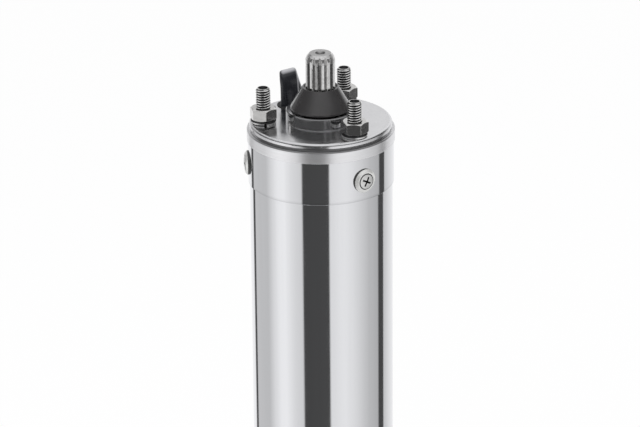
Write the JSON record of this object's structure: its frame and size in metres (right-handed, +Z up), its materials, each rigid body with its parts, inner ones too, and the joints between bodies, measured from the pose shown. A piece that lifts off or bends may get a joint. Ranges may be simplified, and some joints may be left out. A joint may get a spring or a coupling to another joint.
{
  "type": "borehole pump motor",
  "caption": "Slim round submersible pump motor with a splined shaft end, sand slinger, pilot ring, mounting studs, flat lead and a long stainless shell.",
  "frame": {"origin": "centre of the base cap's flat underside, which stands on the floor", "axes": "+Z up the shaft's axis to the coupling end; one stud and one side screw face -Y; the lead leaves its gland at +Y"},
  "size_m": [0.1184, 0.2374, 0.3761],
  "materials": {
    "shell_steel": "fine drawn",
    "mirror_steel": "polished",
    "turned_steel": "turned",
    "fastener_steel": "bright",
    "washer_steel": "dark bright",
    "shaft_steel": "hobbed and ground",
    "spring_steel": "oiled",
    "cast_bracket": "as cast",
    "slinger_rubber": "moulded satin",
    "gland_rubber": "moulded",
    "seal_rubber": "moulded",
    "lead_sheath": "smooth sheath",
    "core_insulation": "smooth",
    "tie_plastic": "moulded",
    "bearing_steel": "ground",
    "cage_brass": "machined",
    "lamination_steel": "stacked sheet",
    "winding_copper": "varnished",
    "cage_aluminium": "die cast"
  },
  "bodies": {
    "root": {"stator_tube": "shell_steel", "shell_sleeve": "shell_steel", "face_plate": "mirror_steel", "seal_housing": "mirror_steel", "upper_bearing_housing": "turned_steel", "base_cap": "turned_steel", "mounting_studs": "fastener_steel", "stud_nuts": "fastener_steel", "side_screws": "fastener_steel", "screw_cup_washers": "fastener_steel", "base_screws": "fastener_steel", "spring_washers": "washer_steel", "preload_washer": "spring_steel", "bearing_circlip": "spring_steel", "lower_bearing_bracket": "cast_bracket", "lead_gland": "gland_rubber", "shaft_seals": "seal_rubber", "seal_o_ring": "seal_rubber", "housing_o_ring": "seal_rubber", "bracket_o_ring": "seal_rubber", "diaphragm": "seal_rubber", "motor_lead": "lead_sheath", "lead_coil": "lead_sheath", "lead_core_ends": "core_insulation", "internal_leads": "core_insulation", "coil_tie": "tie_plastic", "upper_bearing_outer_race": "bearing_steel", "lower_bearing_outer_race": "bearing_steel", "stator_core": "lamination_steel", "stator_windings": "winding_copper"},
    "rotor": {"rotor_shaft": "shaft_steel", "sand_slinger": "slinger_rubber", "rotor_core": "lamination_steel", "rotor_cage": "cage_aluminium", "upper_bearing_inner_race": "bearing_steel", "lower_bearing_inner_race": "bearing_steel", "shaft_circlip": "spring_steel"},
    "upper_ball_set": {"upper_bearing_balls": "bearing_steel", "upper_bearing_cage": "cage_brass"},
    "lower_ball_set": {"lower_bearing_balls": "bearing_steel", "lower_bearing_cage": "cage_brass"}
  },
  "joints": [
    {"name": "rotor_spin", "type": "hinge", "parent": "root", "child": "rotor", "pos_m": [0, 0, 0.3763], "axis": [0, 0, 1], "continuous": true},
    {"name": "upper_balls_spin", "type": "hinge", "parent": "root", "child": "upper_ball_set", "pos_m": [0, 0, 0.3185], "axis": [0, 0, 1], "continuous": true},
    {"name": "lower_balls_spin", "type": "hinge", "parent": "root", "child": "lower_ball_set", "pos_m": [0, 0, 0.071], "axis": [0, 0, 1], "continuous": true}
  ],
  "couplings": [
    {"joint": "upper_balls_spin", "follows": "rotor_spin", "ratio": 0.3816},
    {"joint": "lower_balls_spin", "follows": "rotor_spin", "ratio": 0.3636}
  ]
}
